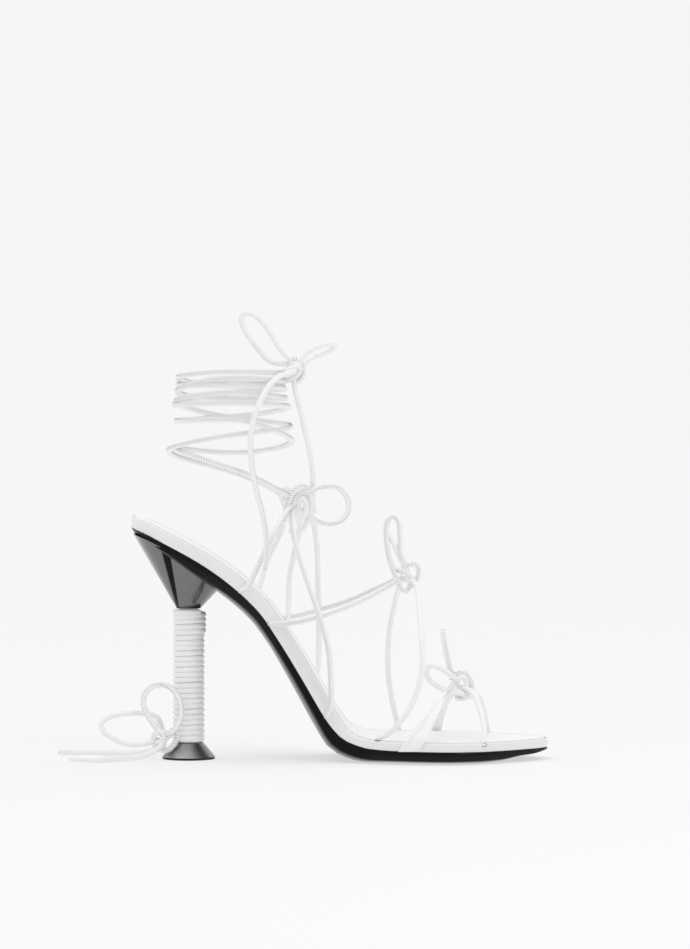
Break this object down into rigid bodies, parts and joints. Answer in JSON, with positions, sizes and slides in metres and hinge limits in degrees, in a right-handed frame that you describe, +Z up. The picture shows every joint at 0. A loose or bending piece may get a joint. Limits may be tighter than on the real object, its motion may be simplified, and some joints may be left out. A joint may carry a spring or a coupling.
{
  "type": "lace up heeled sandal",
  "caption": "Open high-heeled sandal with thin white cord straps tied in bows, a wrapped column heel with a flared metal foot and cone.",
  "frame": {"origin": "on the floor, under the middle of the shoe without its loose cord ends", "axes": "+X towards the toe, +Y towards the outer side of the foot, +Z up"},
  "size_m": [0.2411, 0.0835, 0.2198],
  "materials": {
    "white_leather": "smooth, softly glossy",
    "white_cord": "smooth on one side, stitched on the other",
    "black_gloss": "polished",
    "gunmetal": "dark mirror plating",
    "black_rubber": "matt"
  },
  "bodies": {
    "root": {"ankle_laces": "white_cord", "footbed": "white_leather", "heel_column": "gunmetal", "heel_cone": "gunmetal", "heel_end_back": "white_cord", "heel_end_front": "white_cord", "heel_knot": "white_cord", "heel_lift": "gunmetal", "heel_loop_left": "white_cord", "heel_loop_upper": "white_cord", "heel_winding": "white_cord", "insole_sock": "white_leather", "instep_knot": "white_cord", "instep_lobe": "white_cord", "instep_loop": "white_cord", "lace_end_long": "white_cord", "lace_end_short": "white_cord", "mid_knot": "white_cord", "mid_loop": "white_cord", "outsole": "black_gloss", "toe_knot": "white_cord", "toe_loop_low": "white_cord", "toe_loop_tall": "white_cord", "toe_straps": "white_cord", "top_knot": "white_cord", "top_loop_short": "white_cord", "top_loop_tall": "white_cord", "top_piece": "black_rubber", "upper_straps": "white_cord"}
  },
  "joints": []
}
